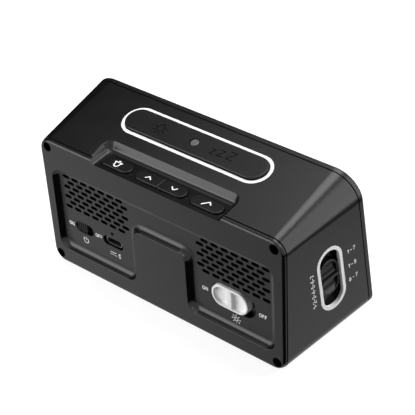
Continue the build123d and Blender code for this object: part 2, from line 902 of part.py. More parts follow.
def key_pcb_screws():
    return Part() + [Pos(x, key_line, key_board_top - board) * Rot(180, 0, 0) * small_screw()
                     for x in (-key_post_x, key_post_x)]


def key_switches():
    return Part() + [Pos(x, key_line, key_board_top) * push_switch() for x, length in key_places().values()]


def mode_ring():
    band = stadium(selector_straight + selector_outer, selector_outer)
    band -= stadium(selector_straight + selector_inner, selector_inner)
    return SELECTOR * Rot(0, 0, 90) * slab(band, -ring_depth, ring_proud)


def dished_knob(length, width, low, high, ridge, ridge_high, rim, dish, radius):
    """Stadium knob with a ridge across its middle and a hollow on each side of it."""
    knob = slab(stadium(length, width), low, high)
    knob = fillet(knob.faces().sort_by(Axis.Z)[-1].edges(), rim * 0.4)
    hollow = slab(stadium(length - 2 * rim, width - 2 * rim), high - dish, high + 1)
    for side in (-1, 1):
        bowl = Pos(side * (ridge / 2 + radius * 0.35), 0, high - dish + radius) * Rot(90, 0, 0) * Cylinder(
            radius, width)
        keep = Pos(side * (ridge / 2 + length / 2), 0, 0) * block(length, width, low, high + 1)
        knob -= hollow & bowl & keep
    ridge_length = width - 2 * rim
    if ridge_high > high:
        knob += block(ridge, ridge_length, high - 0.2, ridge_high)
    return knob


def stem(low, high):
    return block(stem_width, stem_width, low, high)


def mode_slider():
    """Black knob of the day selector, at its middle place."""
    low = -selector_depth + slide_gap
    knob = dished_knob(selector_knob_length, selector_knob_width, low, -selector_knob_top, selector_ridge,
                       -selector_ridge_top, 0.8, 1.1, 8.0)
    knob += stem(-selector_depth - stem_reach, low)
    return SELECTOR * Rot(0, 0, 90) * knob


def mode_switch():
    return SELECTOR * Rot(0, 0, 90) * Pos(0, 0, selector_switch_top) * slide_switch(2 * selector_travel)


def mode_pcb():
    length = 2 * selector_post_y + small_boss + 2
    panel = block(selector_board_width, length, selector_board_top - board, selector_board_top)
    for y in (-selector_post_y, selector_post_y):
        panel -= Pos(0, y, 0) * post(small_shank + 0.4, selector_board_top - 3, selector_board_top + 1)
    return SELECTOR * panel


def mode_pcb_screws():
    return Part() + [SELECTOR * Pos(0, y, selector_board_top - board) * Rot(180, 0, 0) * small_screw()
                     for y in (-selector_post_y, selector_post_y)]


def auto_light_slider():
    """White knob of the light slider, at the end where the light is on."""
    low = light_pocket + slide_gap
    knob = dished_knob(light_knob_length, light_knob_width, low, panel_level + light_knob_proud, light_ridge,
                       panel_level, light_rim, light_dish, light_dish_radius)
    knob += stem(light_pocket - stem_reach, low)
    return LIGHT * Pos(-light_travel / 2, 0, 0) * knob


def auto_light_switch():
    return LIGHT * Pos(0, 0, light_switch_top) * slide_switch(light_travel)


def auto_light_pcb():
    length = 2 * light_post_x + small_boss + 2
    panel = block(length, light_board_width, light_board_top - board, light_board_top)
    for x in (-light_post_x, light_post_x):
        panel -= Pos(x, 0, 0) * post(small_shank + 0.4, light_board_top - 3, light_board_top + 1)
    return LIGHT * panel


def auto_light_screws():
    return Part() + [LIGHT * Pos(x, 0, light_board_top - board) * Rot(180, 0, 0) * small_screw()
                     for x in (-light_post_x, light_post_x)]


def power_slider():
    """Small ribbed knob, at the end where the clock is on."""
    low = power_pocket + slide_gap
    high = panel_level - power_knob_sink
    knob = slab(RectangleRounded(power_knob_length, power_knob_width, 1.2), low, high - power_rib)
    shape = RectangleRounded(power_knob_length, power_knob_width, 1.2)
    count = int(power_knob_length / power_rib_pitch)
    for i in range(count):
        x = (i - (count - 1) / 2) * power_rib_pitch
        knob += slab((Pos(x, 0) * Rectangle(power_rib, power_knob_width)) & shape, high - power_rib, high)
    knob += stem(power_pocket - stem_reach, low)
    return POWER * Pos(-power_travel / 2, 0, 0) * knob


def power_switch():
    """Slide switch that stands on the inlet's board."""
    low = io_board_level - power_up
    body = Pos(0, 0, power_switch_top) * slide_switch(power_travel)
    foot = Pos(0, (low - switch_width / 2) / 2, power_switch_top - switch_depth / 2) * Box(
        switch_length, -low - switch_width / 2, switch_depth)
    return POWER * (body + foot)


def io_pcb():
    length = io_board_far - io_board_near
    reach = io_board_reach - io_board_front
    panel = Box(length, board, reach, align=(Align.CENTER, Align.MAX, Align.MAX))
    panel = on_rim((io_board_far + io_board_near) / 2, io_board_level, panel_back - io_board_front) * panel
    for x in io_rib_places():
        panel -= io_screw_place(x) * post(small_shank + 0.4, -1, board + 1)
    return panel


def io_pcb_screws():
    return Part() + [io_screw_place(x) * Pos(0, 0, board) * small_screw() for x in io_rib_places()]


def usb_socket():
    """Metal shell of the inlet, on a foot that stands on its board."""
    mouth = panel_level - socket_sink
    radius = socket_height / 2 - 0.01
    outer = slab(RectangleRounded(socket_width, socket_height, radius), mouth - socket_depth, mouth)
    inner_height = socket_height - 2 * socket_wall
    inner = slab(RectangleRounded(socket_width - 2 * socket_wall, inner_height, inner_height / 2 - 0.01),
                 mouth - socket_depth + 1, mouth + 1)
    foot_height = inlet_up - socket_height / 2 - io_board_level
    foot = Pos(0, -socket_height / 2 - foot_height / 2 + 0.1, mouth - socket_depth + 2) * Box(
        socket_width - 2, foot_height + 0.2, 4)
    return INLET * (outer + foot - inner)


def usb_tongue():
    back = panel_level - socket_sink - socket_depth + 1
    return INLET * block(tongue_width, tongue_thickness, back, back + tongue_length)


def charge_light_pipe():
    pipe = post(light_pipe, panel_level - light_pipe_length, panel_level - 0.2)
    pipe += post(light_pipe_head, panel_level - light_pipe_length, panel_back - 0.1)
    return on_rim(inlet_x, light_pipe_up) * pipe


def charge_led():
    """Lamp behind the light pipe, on two legs that stand on the inlet's board."""
    front = panel_level - light_pipe_length - part_gap
    lamp = post(light_pipe_head, front - led_length, front)
    drop = light_pipe_up - io_board_level
    for x in (-0.9, 0.9):
        lamp += Pos(x, -drop / 2, front - led_length + 0.5) * Box(0.5, drop, 0.5)
    return on_rim(inlet_x, light_pipe_up) * lamp


def battery_pack():
    low = floor_top + pad_thickness
    pack = block(battery_length, battery_width, low, low + battery_height)
    pack = fillet(pack.edges().filter_by(Axis.Z), battery_edge)
    return Pos(-battery_x, battery_y, 0) * pack


def battery_pad():
    pad = block(battery_length - 6, battery_width - 6, floor_top, floor_top + pad_thickness)
    return Pos(-battery_x, battery_y, 0) * pad


def speaker_place():
    return on_rim(-speaker_x, speaker_up, panel_back)


def speaker_frame():
    """Oval basket with its rim on the inside of the grille."""
    outer = stadium(speaker_length, speaker_width)
    inner = stadium(speaker_length - 2 * speaker_rim, speaker_width - 2 * speaker_rim)
    basket = slab(outer, -speaker_frame_depth, 0)
    basket -= slab(inner, -speaker_frame_depth + 1, 1)
    return speaker_place() * basket


def speaker_cone():
    inner = stadium(speaker_length - 2 * speaker_rim - 0.4, speaker_width - 2 * speaker_rim - 0.4)
    cone = slab(inner, -speaker_frame_depth + 1, -speaker_frame_depth + 1 + speaker_cone_depth)
    top = -speaker_frame_depth + 1 + speaker_cone_depth
    dome = Pos(0, 0, top - 2) * Sphere(3) & block(8, 8, top - 0.1, 0)
    return speaker_place() * (cone + dome)


def speaker_magnet():
    return speaker_place() * post(magnet_width, -speaker_frame_depth - magnet_depth, -speaker_frame_depth)


def rubber_feet():
    foot = post(foot_width, 0, foot_thickness)
    foot = fillet(foot.edges().group_by(Axis.Z)[0], foot_proud * 0.8)
    return Part() + [Pos(x, y, 0) * foot for x, y in foot_places()]


SUB_PARTS = [
    housing_shell, front_bezel, display_lens, lcd_panel, lcd_frame, backlight_panel, contact_strips,
    main_pcb, main_pcb_screws, main_chip, main_pcb_parts, rear_cover, rear_screws,
    snooze_ring, snooze_bar, light_sensor_window,
    snooze_pcb, snooze_pcb_screws, snooze_switches, light_sensor,
    key_pcb, key_pcb_screws, key_switches, mode_ring, mode_slider, mode_switch, mode_pcb, mode_pcb_screws,
    auto_light_slider, auto_light_switch, auto_light_pcb, auto_light_screws,
    power_slider, power_switch, io_pcb, io_pcb_screws, usb_socket, usb_tongue, charge_light_pipe, charge_led,
    battery_pack, battery_pad, speaker_frame, speaker_cone, speaker_magnet, rubber_feet,
]

for build in SUB_PARTS:
    export_step(build(), f"parts/{build.__name__}.step")
for name in key_places():
    export_step(key(name), f"parts/{name}.step")
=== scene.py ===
"""Dresses the digital alarm clock: finishes, printed marks, display figures, studio and camera."""
import logging
import math
from dataclasses import dataclass
from enum import Enum

import bpy
import numpy as np
from mathutils import Matrix


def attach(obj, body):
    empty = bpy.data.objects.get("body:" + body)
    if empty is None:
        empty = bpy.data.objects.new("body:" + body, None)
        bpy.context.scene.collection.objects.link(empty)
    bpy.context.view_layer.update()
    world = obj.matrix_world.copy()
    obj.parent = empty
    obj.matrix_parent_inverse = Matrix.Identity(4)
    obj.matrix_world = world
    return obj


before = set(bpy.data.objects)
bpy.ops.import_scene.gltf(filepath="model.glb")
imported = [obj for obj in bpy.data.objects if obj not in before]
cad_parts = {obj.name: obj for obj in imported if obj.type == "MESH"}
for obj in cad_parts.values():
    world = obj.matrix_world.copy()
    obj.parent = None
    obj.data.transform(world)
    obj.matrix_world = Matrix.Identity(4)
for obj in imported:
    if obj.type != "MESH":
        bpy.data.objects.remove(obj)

log = logging.getLogger("clock")
MM = 0.001
Nodes = bpy.types.NodeTree
Socket = bpy.types.NodeSocket
Material = bpy.types.Material
Path = np.ndarray
Colour = tuple[float, float, float]

SATIN_BLACK: Colour = (0.0035, 0.0035, 0.0036)
SMOKED: Colour = (0.2, 0.2, 0.21)
FULL_WHITE = (1.0, 1.0, 1.0, 1.0)


def grey(value: float) -> Colour:
    """Returns a colour with the same share of red, green and blue."""
    return (value, value, value)


def unit(vector: np.ndarray) -> np.ndarray:
    """Returns a vector scaled to length one."""
    return vector / np.linalg.norm(vector)


@dataclass(frozen=True)
class Face:
    """A flat face of the case: a point on it in millimetres, its reading and upward directions."""

    origin: tuple[float, float, float]
    across: tuple[float, float, float]
    upward: tuple[float, float, float]

    def place(self, across: np.ndarray, upward: np.ndarray, height: np.ndarray) -> np.ndarray:
        """Places points of the face in space: the origin plus across, upward and outward shares.

        Args:
            across: Distances along the reading direction, in millimetres.
            upward: Distances along the upward direction, in millimetres.
            height: Distances out of the face, in millimetres.

        Returns:
            Points in metres, with the shape of the inputs and a last axis of three.
        """
        x, y = unit(np.array(self.across)), unit(np.array(self.upward))
        z = np.cross(x, y)
        shift = across[..., None] * x + upward[..., None] * y + height[..., None] * z
        return (np.array(self.origin) + shift) * MM


@dataclass(frozen=True)
class CaseShape:
    """Main sizes of the case, in millimetres and degrees, as its solids have them."""

    rim_y: float = 23.7406
    front_y: float = -25.3594
    foot_height: float = 0.6
    rear_height: float = 62.0
    front_height: float = 67.4
    rear_lean: float = 6.8
    front_lean: float = 1.65
    side_flare: float = 7.07
    half_front: float = 70.0
    top_slope: float = 8.299
    cover_face: float = 1.8
    panel_depth: float = 2.6
    selector_front: float = 22.1
    selector_up: float = 29.85

    def rear(self, height: float = 0.0) -> Face:
        """Returns the face at a height over the rear rim, read from behind the clock."""
        lean = math.radians(self.rear_lean)
        out = np.array([0.0, math.cos(lean), math.sin(lean)])
        origin = np.array([0.0, self.rim_y, self.foot_height]) + out * height
        return Face(tuple(origin), (-1.0, 0.0, 0.0), (0.0, -math.sin(lean), math.cos(lean)))

    def panel(self) -> Face:
        """Returns the floor of the sunk panel."""
        return self.rear(self.cover_face - self.panel_depth)

    def front(self, height: float) -> Face:
        """Returns the face at a height over the front, read from before the clock."""
        lean = math.radians(self.front_lean)
        out = np.array([0.0, -math.cos(lean), math.sin(lean)])
        origin = np.array([0.0, self.front_y, self.foot_height]) + out * height
        return Face(tuple(origin), (1.0, 0.0, 0.0), (0.0, math.sin(lean), math.cos(lean)))

    def side(self) -> Face:
        """Returns the side with the day selector, centred on it, read from beside the clock."""
        flare = math.radians(self.side_flare)
        y = self.front_y + self.selector_front * math.cos(flare)
        x = -self.half_front + (y - self.front_y) * math.tan(flare)
        along = (-math.sin(flare), -math.cos(flare), 0.0)
        return Face((x, y, self.foot_height + self.selector_up), along, (0.0, 0.0, 1.0))

    def top(self, y: float, height: float) -> Face:
        """Returns the sloping top at a depth, at a height over it, read from before the clock."""
        slope = math.radians(self.top_slope)
        lean = math.radians(self.rear_lean)
        rear_y = self.rim_y - self.rear_height * math.sin(lean)
        rear_z = self.foot_height + self.rear_height * math.cos(lean)
        out = np.array([0.0, math.sin(slope), math.cos(slope)])
        origin = np.array([0.0, y, rear_z + (rear_y - y) * math.tan(slope)]) + out * height
        return Face(tuple(origin), (1.0, 0.0, 0.0), (0.0, math.cos(slope), -math.sin(slope)))

    def level(self, y: float, z: float) -> Face:
        """Returns a level face, read from before the clock."""
        return Face((0.0, y, z), (1.0, 0.0, 0.0), (0.0, 1.0, 0.0))


class Weave(Enum):
    """Kinds of surface texture of a finish."""

    GRAIN = "fine eroded grain"
    SMOOTH = "smooth moulding"
    BRUSHED = "fine drawn lines"
    TRACKS = "copper tracks under lacquer"


class Graph:
    """A short way to add and join shader nodes."""

    def __init__(self, material: Material) -> None:
        """Empties a material and keeps its tree.

        Args:
            material: The material to build.
        """
        material.use_nodes = True
        self.tree: Nodes = material.node_tree
        self.tree.nodes.clear()

    def add(self, kind: str, **values: object) -> bpy.types.Node:
        """Adds a node and sets its properties and unlinked sockets.

        Args:
            kind: The node's type name.
            values: Property names, or socket names with spaces as underscores, and their values.

        Returns:
            The new node.
        """
        node = self.tree.nodes.new(kind)
        for name, value in values.items():
            socket = node.inputs.get(name.replace("_", " "))
            if hasattr(node, name) and socket is None:
                setattr(node, name, value)
            elif isinstance(value, bpy.types.NodeSocket):
                self.tree.links.new(value, socket)
            else:
                socket.default_value = value
        return node

    def join(self, start: Socket, end: Socket) -> None:
        """Links two sockets."""
        self.tree.links.new(start, end)

    def spread(self, source: Socket, low: float, high: float) -> Socket:
        """Spreads a value from 0 to 1 over a range.

        Args:
            source: The value to spread.
            low: Result at 0.
            high: Result at 1.

        Returns:
            The socket of the result.
        """
        node = self.add("ShaderNodeMapRange", To_Min=low, To_Max=high)
        self.join(source, node.inputs["Value"])
        return node.outputs["Result"]


@dataclass(frozen=True)
class Finish:
    """A finish of a piece: colour, shine and surface texture, with lengths in millimetres."""

    name: str
    colour: Colour
    roughness: float = 0.45
    metallic: float = 0.0
    shade: float = 0.12
    patch: float = 9.0
    weave: Weave = Weave.GRAIN
    grain: float = 0.35
    relief: float = 0.012
    specular: float = 0.5
    ior: float = 1.5
    coat: float = 0.0
    transmission: float = 0.0
    glow: float = 0.0
    sheen: float = 0.0
    shine_change: float = 0.08
    tone_from: float = 0.3
    tone_to: float = 0.7

    def material(self) -> Material:
        """Builds the finish: patchy tone and shine and a fine relief, on object coordinates.

        Returns:
            The material.
        """
        material = bpy.data.materials.new(self.name)
        graph = Graph(material)
        place = graph.add("ShaderNodeTexCoord").outputs["Object"]
        patches = graph.add("ShaderNodeTexNoise", Vector=place, Scale=1000 / self.patch, Detail=4.0)
        tone = graph.add("ShaderNodeValToRGB")
        graph.join(patches.outputs["Fac"], tone.inputs["Fac"])
        for stop, share in zip(tone.color_ramp.elements, (1 - self.shade, 1 + self.shade)):
            stop.color = (*(min(c * share, 1.0) for c in self.colour), 1.0)
        tone.color_ramp.elements[0].position = self.tone_from
        tone.color_ramp.elements[1].position = self.tone_to
        shader = graph.add(
            "ShaderNodeBsdfPrincipled", Base_Color=tone.outputs["Color"], Metallic=self.metallic,
            IOR=self.ior, Coat_Weight=self.coat, Transmission_Weight=self.transmission,
            Sheen_Weight=self.sheen, Specular_IOR_Level=self.specular)
        texture = self.texture(graph, place)
        smoothest = self.roughness * (1 - self.shine_change)
        dullest = min(self.roughness * (1 + self.shine_change), 1.0)
        shine = graph.spread(patches.outputs["Fac"], smoothest, dullest)
        graph.join(shine, shader.inputs["Roughness"])
        bump = graph.add("ShaderNodeBump", Height=texture, Strength=1.0, Distance=self.relief * MM)
        graph.join(bump.outputs["Normal"], shader.inputs["Normal"])
        if self.glow:
            shader.inputs["Emission Strength"].default_value = self.glow
            shader.inputs["Emission Color"].default_value = (*self.colour, 1.0)
        out = graph.add("ShaderNodeOutputMaterial")
        graph.join(shader.outputs["BSDF"], out.inputs["Surface"])
        return material

    def texture(self, graph: Graph, place: Socket) -> Socket:
        """Adds the height of the fine relief.

        Args:
            graph: The material's nodes.
            place: Object coordinates in metres.

        Returns:
            The socket of the height.
        """
        if self.weave is Weave.BRUSHED:
            stretch = graph.add("ShaderNodeMapping", Vector=place, Scale=(1.0, 12.0, 12.0))
            lines = graph.add("ShaderNodeTexNoise", Vector=stretch.outputs["Vector"],
                              Scale=300 / self.grain)
            return lines.outputs["Fac"]
        if self.weave is Weave.TRACKS:
            cells = graph.add("ShaderNodeTexVoronoi", Vector=place, Scale=1000 / self.grain,
                              distance="MANHATTAN", feature="F1")
            return cells.outputs["Distance"]
        noise = graph.add("ShaderNodeTexNoise", Vector=place, Scale=1000 / self.grain, Detail=3.0,
                          Roughness=0.6)
        return noise.outputs["Fac"]


class Palette:
    """All finishes of the clock and the CAD nodes that wear them."""

    case = Finish("case_black", (0.003, 0.003, 0.0031), 0.24, grain=0.28, relief=0.003,
                  specular=0.4)
    bezel = Finish("bezel_black", SATIN_BLACK, 0.25, grain=0.3, relief=0.002, specular=0.4)
    bar = Finish("bar_black", SATIN_BLACK, 0.3, grain=0.25, relief=0.004, specular=0.3)
    key = Finish("key_black", SATIN_BLACK, 0.3, grain=0.25, relief=0.003, specular=0.36)
    slider_black = Finish("slider_black", SATIN_BLACK, 0.3, grain=0.3, relief=0.003, specular=0.36)
    slider_white = Finish("slider_white", grey(0.86), 0.35, shade=0.02, grain=0.4, relief=0.002)
    ring = Finish("ring_white", (0.88, 0.88, 0.89), 0.34, shade=0.015, grain=0.4, relief=0.002)
    window = Finish("smoked_window", SMOKED, 0.03, shade=0.02, weave=Weave.SMOOTH, relief=0.0002,
                    transmission=0.94, specular=0.3, ior=1.03, coat=0.5)
    sensor = Finish("sensor_window", SMOKED, 0.06, shade=0.05, relief=0.0005, transmission=0.6)
    pipe = Finish("smoked_pipe", grey(0.002), 0.6, shade=0.03, relief=0.0005, specular=0.04)
    glass = Finish("lcd_glass", (0.006, 0.007, 0.007), 0.2, shade=0.03, relief=0.0005, specular=0.2)
    guide = Finish("light_guide", (0.78, 0.8, 0.8), 0.3, shade=0.03, relief=0.002)
    frame_black = Finish("frame_black", grey(0.02), 0.6, shade=0.05, relief=0.01, specular=0.1)
    strip = Finish("strip_rubber", (0.7, 0.42, 0.46), 0.7, relief=0.02)
    board = Finish("board_green", (0.012, 0.11, 0.04), 0.3, shade=0.35, patch=1.6,
                   weave=Weave.TRACKS, grain=1.4, relief=0.03)
    zinc = Finish("zinc_screw", (0.6, 0.6, 0.58), 0.3, metallic=1.0, weave=Weave.BRUSHED, grain=0.2)
    screw_black = Finish("screw_black", grey(0.015), 0.45, metallic=1.0, grain=0.2)
    steel = Finish("socket_steel", grey(0.27), 0.3, metallic=1.0, weave=Weave.BRUSHED, grain=0.15)
    chip = Finish("chip_black", grey(0.015), 0.55, grain=0.15, relief=0.01)
    parts = Finish("parts_grey", (0.3, 0.3, 0.29), 0.4, shade=0.2, relief=0.01)
    switch = Finish("switch_black", (0.03, 0.03, 0.032), 0.45, relief=0.01)
    clear = Finish("led_clear", (0.5, 0.52, 0.54), 0.1, relief=0.001, transmission=0.6)
    cell = Finish("cell_wrap", (0.05, 0.13, 0.28), 0.25, shade=0.06, grain=3.0, relief=0.05,
                  coat=0.4)
    foam = Finish("foam_black", grey(0.02), 0.95, grain=0.6, relief=0.2, specular=0.2)
    basket = Finish("speaker_plastic", grey(0.02), 0.5)
    cone = Finish("cone_paper", grey(0.05), 0.8, shade=0.25, grain=0.5, relief=0.05, sheen=0.2)
    magnet = Finish("magnet_grey", grey(0.12), 0.55, metallic=0.6, grain=0.2, relief=0.02)
    foot = Finish("foot_rubber", grey(0.012), 0.8, grain=0.4, relief=0.03)
    ink = Finish("white_ink", grey(0.86), 0.5, shade=0.06, patch=1.0, grain=0.2, relief=0.003)
    # Painted shade: the bar's engraved signs are raised ribbons, near black and barely reflective,
    # standing in for the shade inside their grooves.
    sign_shade = Finish("engraved_sign_shade", grey(0.001), 0.6, shade=0.1, grain=0.2, relief=0.004,
                    specular=0.06)
    figures = Finish("lcd_figures", (0.72, 0.78, 0.8), 0.4, shade=0.02, relief=0.0005, glow=9.0)

    def worn_by(self) -> dict[str, Finish]:
        """Returns the finish of each CAD node."""
        board, switch, zinc = self.board, self.switch, self.zinc
        return {
            "housing_shell": self.case, "rear_cover": self.case, "front_bezel": self.bezel,
            "display_lens": self.window, "lcd_panel": self.glass, "backlight_panel": self.guide,
            "lcd_frame": self.frame_black, "contact_strips": self.strip, "main_pcb": board,
            "main_pcb_screws": zinc, "main_chip": self.chip, "main_pcb_parts": self.parts,
            "rear_screws": self.screw_black, "snooze_ring": self.ring, "mode_ring": self.ring,
            "snooze_bar": self.bar, "light_sensor_window": self.sensor, "snooze_pcb": board,
            "snooze_pcb_screws": zinc, "snooze_switches": switch, "light_sensor": self.clear,
            "key_pcb": board, "key_pcb_screws": zinc, "key_switches": switch,
            "mode_slider": self.slider_black, "mode_switch": switch, "mode_pcb": board,
            "mode_pcb_screws": zinc, "auto_light_slider": self.slider_white,
            "auto_light_switch": switch, "auto_light_pcb": board, "auto_light_screws": zinc,
            "power_slider": self.slider_black, "power_switch": switch, "io_pcb": board,
            "io_pcb_screws": zinc, "usb_socket": self.steel, "usb_tongue": self.chip,
            "charge_light_pipe": self.pipe, "charge_led": self.clear, "battery_pack": self.cell,
            "battery_pad": self.foam, "speaker_frame": self.basket, "speaker_cone": self.cone,
            "speaker_magnet": self.magnet, "rubber_feet": self.foot, "alarm_key": self.key,
            "down_key": self.key, "up_key": self.key, "set_key": self.key,
        }

    def dress(self) -> None:
        """Gives each CAD node its finish."""
        made: dict[str, Material] = {}
        for node, finish in self.worn_by().items():
            if finish.name not in made:
                made[finish.name] = finish.material()
            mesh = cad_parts[node].data
            mesh.materials.clear()
            mesh.materials.append(made[finish.name])
            log.info("%s wears %s", node, finish.name)


CORNER_STEPS = (0.0, 0.02, 0.5, 0.98)


def line(*points: tuple[float, float]) -> Path:
    """Returns straight runs through points, with extra points near each corner.

    Args:
        points: Corners in shares of the letter's height.

    Returns:
        An array of two columns.
    """
    corners = np.array(points, dtype=float)
    steps = np.array(CORNER_STEPS)
    runs = corners[:-1, None, :] + (corners[1:] - corners[:-1])[:, None, :] * steps[None, :, None]
    return np.vstack([runs.reshape(-1, 2), corners[-1:]])


def arc(x: float, y: float, wide: float, high: float, start: float, end: float,
        count: int = 28) -> Path:
    """Returns part of an ellipse: centre plus half sizes times the cosine and sine of the angle.

    Args:
        x: Centre across.
        y: Centre upward.
        wide: Half width.
        high: Half height.
        start: First angle in degrees.
        end: Last angle in degrees.
        count: Number of points.

    Returns:
        An array of two columns.
    """
    angle = np.radians(np.linspace(start, end, count))
    return np.stack([x + wide * np.cos(angle), y + high * np.sin(angle)], axis=1)


def grid_quads(rows: int, columns: int, start: int = 0) -> np.ndarray:
    """Returns the faces of a grid of points, four numbers each.

    Args:
        rows: Number of rows of points.
        columns: Number of points in a row.
        start: Number of the first point.

    Returns:
        An array of four columns.
    """
    grid = np.arange(rows * columns).reshape(rows, columns) + start
    sides = [grid[:-1, :-1], grid[:-1, 1:], grid[1:, 1:], grid[1:, :-1]]
    return np.stack(sides, axis=-1).reshape(-1, 4)


GLYPHS: dict[str, tuple[float, list[Path]]] = {
    "O": (0.72, [arc(0.36, 0.5, 0.36, 0.5, 90, 450, 40)]),
    "N": (0.68, [line((0, 0), (0, 1), (0.68, 0), (0.68, 1))]),
    "F": (0.5, [line((0.5, 1), (0, 1), (0, 0)), line((0, 0.52), (0.44, 0.52))]),
    "-": (0.34, [line((0, 0.46), (0.34, 0.46))]),
    "1": (0.3, [line((0, 0.78), (0.3, 1), (0.3, 0))]),
    "2": (0.56, [np.vstack([arc(0.28, 0.7, 0.28, 0.3, 165, -35, 20),
                            line((0.5, 0.5), (0, 0), (0.58, 0))])]),
    "3": (0.54, [arc(0.26, 0.75, 0.26, 0.25, 150, -90, 20),
                 arc(0.26, 0.26, 0.29, 0.26, 90, -150, 20)]),
    "4": (0.6, [line((0.44, 0), (0.44, 1), (0, 0.3), (0.62, 0.3))]),
    "5": (0.54, [np.vstack([line((0.5, 1), (0.08, 1), (0.04, 0.56)),
                            arc(0.26, 0.32, 0.29, 0.32, 130, -150, 24)])]),
    "6": (0.56, [arc(0.28, 0.3, 0.28, 0.3, 90, 450, 32), arc(0.62, 0.3, 0.62, 0.7, 180, 104, 14)]),
    "7": (0.54, [line((0, 1), (0.54, 1), (0.16, 0))]),
}

POWER_ARC = arc(0, 0, 1, 1, 130, 410)
POWER_STEM = line((0, 0.15), (0, 1.3))
BELL = np.vstack([line((-1.9, -1.0), (-1.25, -0.3)), arc(0, 0.35, 1.2, 1.25, 180, 0),
                  line((1.25, -0.3), (1.9, -1.0), (-1.9, -1.0))])
BELL_CLAPPER = line((-0.35, -1.75), (0.35, -1.75))
CHEVRON = line((-1.35, -0.6), (0, 0.7), (1.35, -0.6))
CHECK = line((-1.7, 0.0), (-0.5, -1.2), (1.9, 1.25))
LETTER_Z = line((0, 1), (0.8, 1), (0, 0), (0.8, 0))
BULB = arc(0, 0.35, 1.7, 1.7, -55, 235)
BULB_NECK = line((-0.95, -1.05), (-0.75, -1.9), (0.75, -1.9), (0.95, -1.05))

SEGMENTS: dict[str, str] = {
    "0": "abcdef", "1": "bc", "2": "abged", "3": "abgcd", "4": "fgbc", "5": "afgcd",
    "6": "afgecd", "7": "abc", "8": "abcdefg", "9": "abcdfg"}


class Mark:
    """A printed mark, or an engraved one drawn with painted shade: ribbons of even width carried
    along flat paths on a face.
    """

    cap_angles = (90.0, 60.0, 30.0)
    width_shares = (-1.0, -0.94, -0.5, 0.5, 0.94, 1.0)
    height_shares = (0.0, 0.8, 1.0, 1.0, 0.8, 0.0)
    same_point = 1e-5

    def __init__(self, name: str, face: Face, width: float, thickness: float) -> None:
        """Starts an empty mark.

        Args:
            name: The piece's name.
            face: The face that carries it.
            width: Width of its lines in millimetres.
            thickness: How far it stands out of the face in millimetres.
        """
        self.name = name
        self.face = face
        self.width = width
        self.thickness = thickness
        self.points: list[np.ndarray] = []
        self.faces: list[np.ndarray] = []
        self.count = 0

    def ribbon(self, path: Path, scale: float = 1.0, across: float = 0.0, upward: float = 0.0,
               turn: float = 0.0) -> None:
        """Adds one line of the mark.

        The path's normal is its direction turned a quarter. Each point gets a row of six points
        across the width, low at both edges and level between them. Both ends are drawn out and
        narrowed to a half circle.

        Args:
            path: Points in shares of a size.
            scale: That size in millimetres.
            across: Place of the path's origin across the face.
            upward: Place of the path's origin up the face.
            turn: Turn of the path in degrees, counterclockwise.
        """
        angle = math.radians(turn)
        spin = np.array([[math.cos(angle), math.sin(angle)], [-math.sin(angle), math.cos(angle)]])
        points = (path * scale) @ spin + np.array([across, upward])
        keep = np.append(True, np.linalg.norm(np.diff(points, axis=0), axis=1) > self.same_point)
        points = points[keep]
        ahead = np.gradient(points, axis=0)
        ahead /= np.linalg.norm(ahead, axis=1)[:, None]
        half = self.width / 2
        cap = np.radians(np.array(self.cap_angles))
        start = points[0] - ahead[0] * (half * np.sin(cap))[:, None]
        end = points[-1] + ahead[-1] * (half * np.sin(cap[::-1]))[:, None]
        middle = np.vstack([start, points, end])
        first = np.repeat(ahead[:1], len(cap), axis=0)
        last = np.repeat(ahead[-1:], len(cap), axis=0)
        heading = np.vstack([first, ahead, last])
        narrowed = half * np.cos(cap)
        reach = np.concatenate([narrowed, np.full(len(points), half), narrowed[::-1]])
        side = np.stack([-heading[:, 1], heading[:, 0]], axis=1)
        share = np.array(self.width_shares)
        level = np.array(self.height_shares) * self.thickness
        flat = middle[:, None, :] + side[:, None, :] * (reach[:, None] * share[None, :])[..., None]
        height = np.broadcast_to(level, flat.shape[:2])
        rows, columns = flat.shape[:2]
        self.points.append(self.face.place(flat[..., 0], flat[..., 1], height).reshape(-1, 3))
        self.faces.append(grid_quads(rows, columns, self.count)[:, ::-1])
        self.count += rows * columns

    def text(self, words: str, height: float, across: float, upward: float, gap: float = 0.24,
             turn: float = 0.0) -> None:
        """Adds figures or letters, centred on a place.

        Args:
            words: What it says.
            height: Height of the letters in millimetres, between the middles of their lines.
            across: Middle of the text across the face.
            upward: Middle of the text up the face.
            gap: Space between letters as a share of their height.
            turn: Turn of the text in degrees, counterclockwise.
        """
        widths = [GLYPHS[letter][0] for letter in words]
        total = sum(widths) + gap * (len(words) - 1)
        pen = -total / 2
        for letter, wide in zip(words, widths):
            for path in GLYPHS[letter][1]:
                self.ribbon(path + np.array([pen, -0.5]), height, across, upward, turn)
            pen += wide + gap

    def build(self, material: Material, body: str, slot: str = "print_white") -> bpy.types.Object:
        """Makes the mesh of the mark and lets it ride on its body.

        Args:
            material: Its finish.
            body: The body that carries it.
            slot: Not used.

        Returns:
            The new object.
        """
        mesh = bpy.data.meshes.new(self.name)
        mesh.from_pydata(np.vstack(self.points).tolist(), [], np.vstack(self.faces).tolist())
        mesh.materials.append(material)
        mesh.update()
        piece = bpy.data.objects.new(self.name, mesh)
        bpy.context.scene.collection.objects.link(piece)
        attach(piece, body)
        log.info("%s rides on %s", self.name, body)
        return piece


